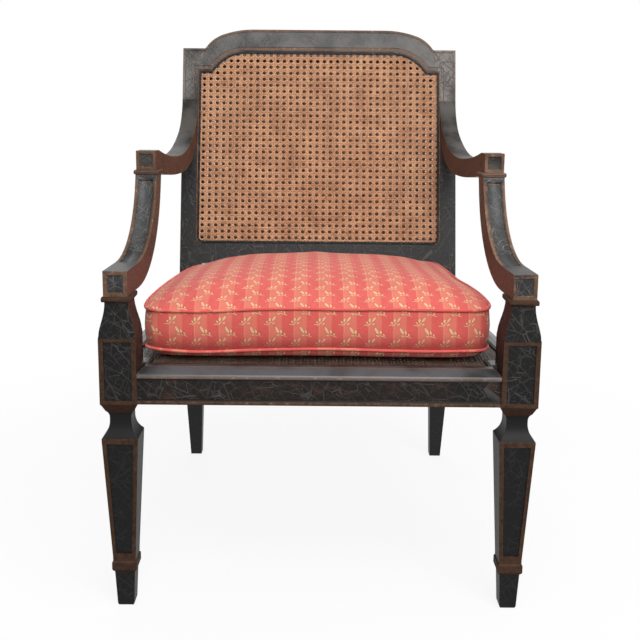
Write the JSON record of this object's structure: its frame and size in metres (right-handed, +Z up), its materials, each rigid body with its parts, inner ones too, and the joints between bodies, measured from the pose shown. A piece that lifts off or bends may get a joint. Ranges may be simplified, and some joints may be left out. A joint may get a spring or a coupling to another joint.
{
  "type": "cane armchair",
  "caption": "Neoclassical armchair with scrolled arms, square panelled front legs, a raked caned back and a loose box cushion on a caned seat.",
  "frame": {"origin": "on the floor, under the centre of the overall box", "axes": "+Z is up; the sitter faces -Y, and +X is on the left in the sitter's own view, so node names with left are at -X as the picture shows them"},
  "size_m": [0.634, 0.7128, 0.9],
  "materials": {
    "lacquered_wood": "black crinkled lacquer, satin",
    "worn_lacquer": "black lacquer rubbed to red brown, satin",
    "back_cane": "honey brown cane, satin",
    "seat_cane": "dark brown cane, satin",
    "plain_wood": "bare beech",
    "screw_steel": "plain steel",
    "cushion_cloth": "coral striped cotton with cream sprigs",
    "welt_cloth": "red corded welt",
    "wadding": "white wadding"
  },
  "bodies": {
    "frame": {"front_leg_left": "lacquered_wood", "front_leg_right": "lacquered_wood", "arm_support_left": "lacquered_wood", "arm_support_right": "lacquered_wood", "arm_left": "worn_lacquer", "arm_right": "worn_lacquer", "back_post_left": "lacquered_wood", "back_post_right": "lacquered_wood", "crest_rail": "lacquered_wood", "back_bottom_rail": "lacquered_wood", "front_seat_rail": "lacquered_wood", "rear_seat_rail": "lacquered_wood", "side_rail_left": "lacquered_wood", "side_rail_right": "lacquered_wood", "seat_frame_front": "lacquered_wood", "seat_frame_rear": "lacquered_wood", "seat_frame_left": "lacquered_wood", "seat_frame_right": "lacquered_wood", "seat_cane": "seat_cane", "seat_cane_spline": "lacquered_wood", "back_cane_front": "back_cane", "back_cane_rear": "back_cane", "back_spline_front": "lacquered_wood", "back_spline_rear": "lacquered_wood", "corner_block_front_left": "plain_wood", "corner_block_front_right": "plain_wood", "corner_block_rear_left": "plain_wood", "corner_block_rear_right": "plain_wood", "corner_block_screws": "screw_steel", "rail_dowels": "plain_wood", "back_dowels": "plain_wood", "arm_dowels": "plain_wood"},
    "cushion": {"cushion_cover": "cushion_cloth", "cushion_core": "wadding", "cushion_welt_top": "welt_cloth", "cushion_welt_bottom": "welt_cloth"}
  },
  "joints": [
    {"name": "cushion_lift", "type": "slide", "parent": "frame", "child": "cushion", "axis": [0, 0, 1], "range_m": [0, 0.16]}
  ]
}
